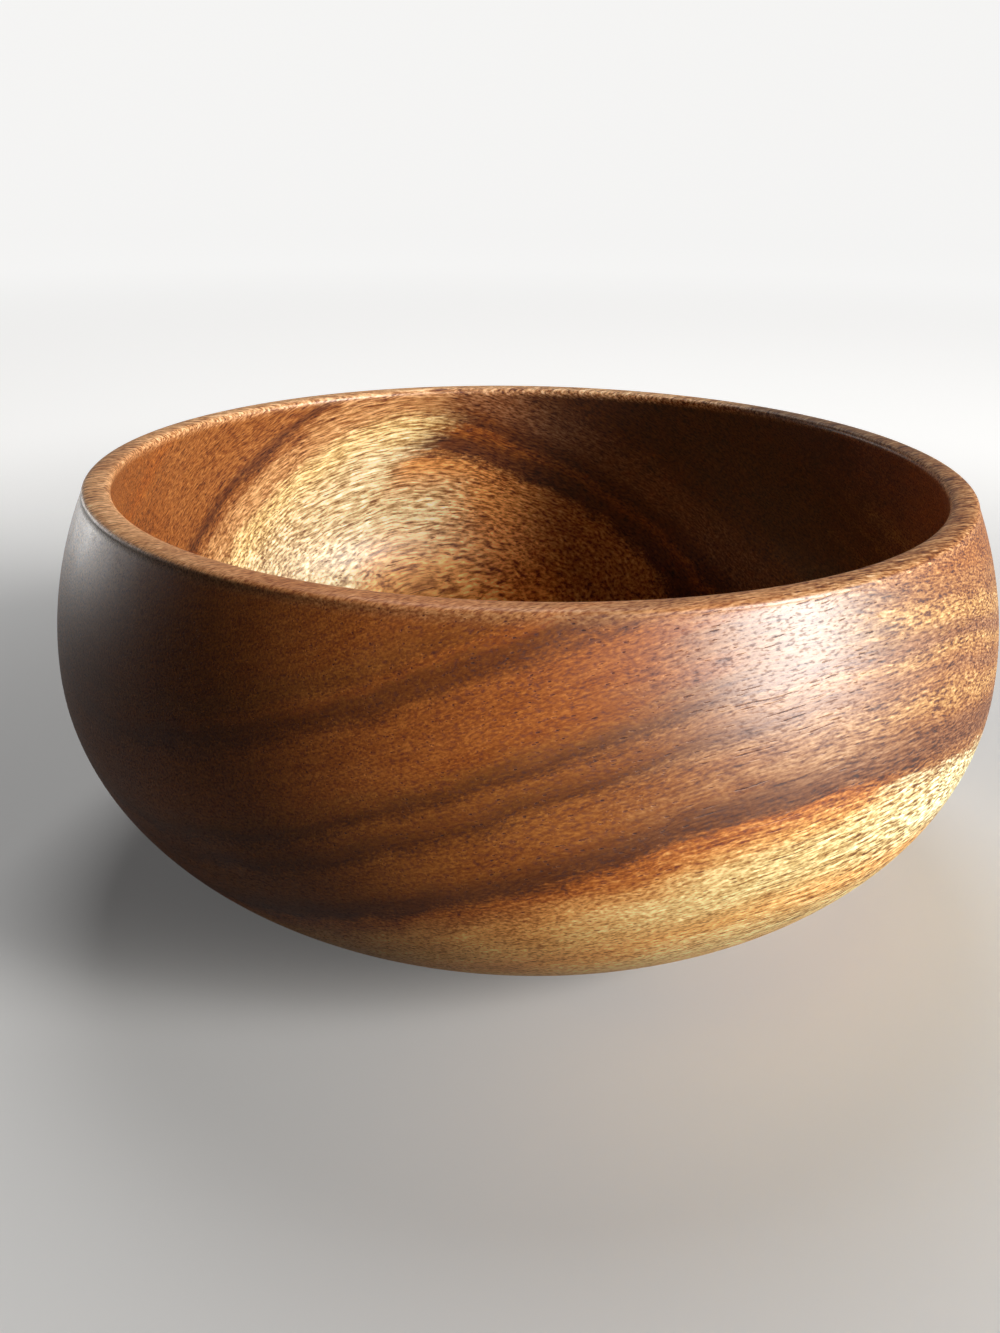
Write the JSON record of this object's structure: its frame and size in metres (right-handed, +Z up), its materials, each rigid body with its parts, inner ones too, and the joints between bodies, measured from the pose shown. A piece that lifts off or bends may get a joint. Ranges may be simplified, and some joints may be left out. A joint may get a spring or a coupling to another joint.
{
  "type": "wooden bowl",
  "caption": "Turned one-piece wooden bowl with a full round belly, an in-drawn mouth, a softly crowned rim and a flat foot, for salad, fruit or bread.",
  "frame": {"origin": "middle of the foot's flat face, on the surface that the bowl stands on", "axes": "+Z up along the axis that the bowl is turned about; -Y faces the viewer of the picture, +X to the viewer's right"},
  "size_m": [0.25, 0.25, 0.1105],
  "materials": {
    "oiled_wood": "oiled hardwood, satin, golden to dark brown growth rings with open dark pores"
  },
  "bodies": {
    "root": {"bowl": "oiled_wood"}
  },
  "joints": []
}
